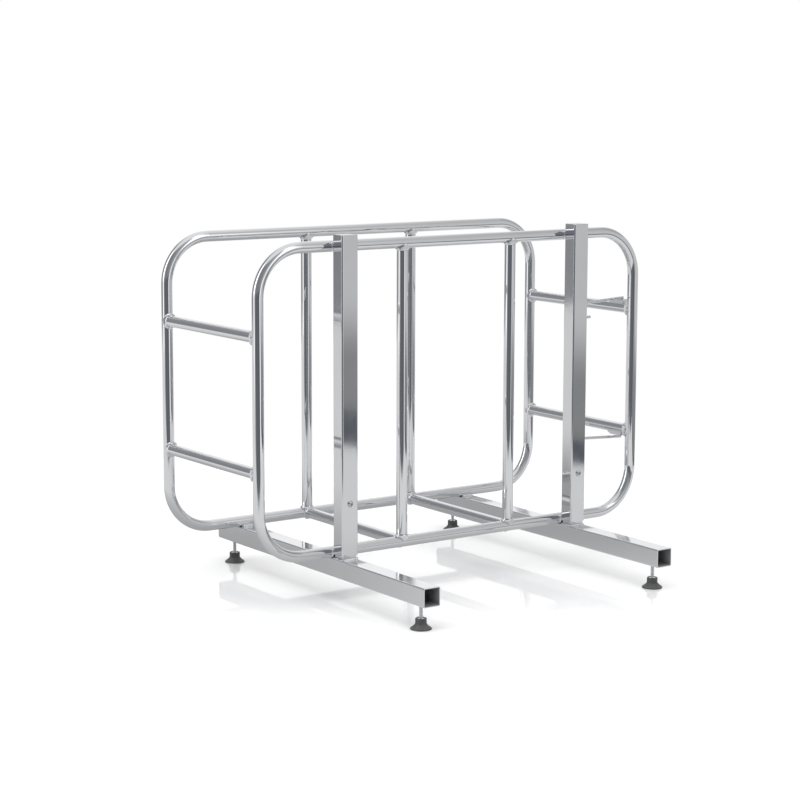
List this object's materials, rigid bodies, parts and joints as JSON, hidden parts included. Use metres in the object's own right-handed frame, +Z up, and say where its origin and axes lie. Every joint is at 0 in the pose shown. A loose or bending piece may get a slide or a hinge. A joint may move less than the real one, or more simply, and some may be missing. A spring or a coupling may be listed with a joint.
{
  "type": "luggage rack",
  "caption": "Open basket rack for luggage: two bent tube hoops joined by rungs, carried on two posts over square base beams with levelling feet.",
  "frame": {"origin": "on the floor under the middle of the rack's bounding box, with the feet at their rest height", "axes": "+Z up, +X along the hoops towards the end that carries the wire hooks, +Y to the rear, away from the posts"},
  "size_m": [0.7712, 0.6, 0.5786],
  "materials": {
    "tube_chrome": "bright polished plating on bent tube",
    "post_chrome": "bright plating on rectangular tube",
    "cap_chrome": "bright pressed cap",
    "beam_chrome": "bright plating on square tube, dull inside",
    "stub_steel": "plated spigot",
    "weld_metal": "plated weld bead, slightly rippled",
    "hook_chrome": "plated wire and plate",
    "screw_steel": "plated screw and rivet nut",
    "zinc_steel": "zinc plated thread",
    "foot_plastic": "moulded dark plastic"
  },
  "bodies": {
    "rack": {"base_beam_left": "beam_chrome", "base_beam_right": "beam_chrome", "base_welds_left": "weld_metal", "base_welds_right": "weld_metal", "cross_bar_left": "tube_chrome", "cross_bar_right": "tube_chrome", "foot_nut_front_left": "zinc_steel", "foot_nut_front_right": "zinc_steel", "foot_nut_rear_left": "zinc_steel", "foot_nut_rear_right": "zinc_steel", "front_hoop": "tube_chrome", "front_rod_left": "tube_chrome", "front_rod_right": "tube_chrome", "hook_saddle_lower": "hook_chrome", "hook_saddle_upper": "hook_chrome", "hook_wire_lower": "hook_chrome", "hook_wire_upper": "hook_chrome", "left_rung_lower": "tube_chrome", "left_rung_upper": "tube_chrome", "post_cap_left": "cap_chrome", "post_cap_right": "cap_chrome", "post_left": "post_chrome", "post_right": "post_chrome", "post_screw_left": "screw_steel", "post_screw_right": "screw_steel", "post_stub_left": "stub_steel", "post_stub_right": "stub_steel", "post_welds_left": "weld_metal", "post_welds_right": "weld_metal", "rear_hoop": "tube_chrome", "rear_rod_left": "tube_chrome", "rear_rod_right": "tube_chrome", "right_rung_lower": "tube_chrome", "right_rung_upper": "tube_chrome", "rivet_nut_left": "screw_steel", "rivet_nut_right": "screw_steel", "stub_weld_left": "weld_metal", "stub_weld_right": "weld_metal"},
    "pad_front_left": {"foot_pad_front_left": "foot_plastic"},
    "stem_front_left": {"foot_stem_front_left": "zinc_steel"},
    "pad_front_right": {"foot_pad_front_right": "foot_plastic"},
    "stem_front_right": {"foot_stem_front_right": "zinc_steel"},
    "pad_rear_left": {"foot_pad_rear_left": "foot_plastic"},
    "stem_rear_left": {"foot_stem_rear_left": "zinc_steel"},
    "pad_rear_right": {"foot_pad_rear_right": "foot_plastic"},
    "stem_rear_right": {"foot_stem_rear_right": "zinc_steel"}
  },
  "joints": [
    {"name": "foot_level_front_left", "type": "slide", "parent": "rack", "child": "pad_front_left", "axis": [0, 0, 1], "range_m": [-0.005, 0.014]},
    {"name": "foot_turn_front_left", "type": "hinge", "parent": "pad_front_left", "child": "stem_front_left", "pos_m": [-0.231, -0.272, 0.03], "axis": [0, 0, 1], "range_deg": [-1800, 5040]},
    {"name": "foot_level_front_right", "type": "slide", "parent": "rack", "child": "pad_front_right", "axis": [0, 0, 1], "range_m": [-0.005, 0.014]},
    {"name": "foot_turn_front_right", "type": "hinge", "parent": "pad_front_right", "child": "stem_front_right", "pos_m": [0.231, -0.272, 0.03], "axis": [0, 0, 1], "range_deg": [-1800, 5040]},
    {"name": "foot_level_rear_left", "type": "slide", "parent": "rack", "child": "pad_rear_left", "axis": [0, 0, 1], "range_m": [-0.005, 0.014]},
    {"name": "foot_turn_rear_left", "type": "hinge", "parent": "pad_rear_left", "child": "stem_rear_left", "pos_m": [-0.231, 0.272, 0.03], "axis": [0, 0, 1], "range_deg": [-1800, 5040]},
    {"name": "foot_level_rear_right", "type": "slide", "parent": "rack", "child": "pad_rear_right", "axis": [0, 0, 1], "range_m": [-0.005, 0.014]},
    {"name": "foot_turn_rear_right", "type": "hinge", "parent": "pad_rear_right", "child": "stem_rear_right", "pos_m": [0.231, 0.272, 0.03], "axis": [0, 0, 1], "range_deg": [-1800, 5040]}
  ],
  "couplings": [
    {"joint": "foot_turn_front_left", "follows": "foot_level_front_left", "rad_per_m": 6283.2},
    {"joint": "foot_turn_front_right", "follows": "foot_level_front_right", "rad_per_m": 6283.2},
    {"joint": "foot_turn_rear_left", "follows": "foot_level_rear_left", "rad_per_m": 6283.2},
    {"joint": "foot_turn_rear_right", "follows": "foot_level_rear_right", "rad_per_m": 6283.2}
  ]
}
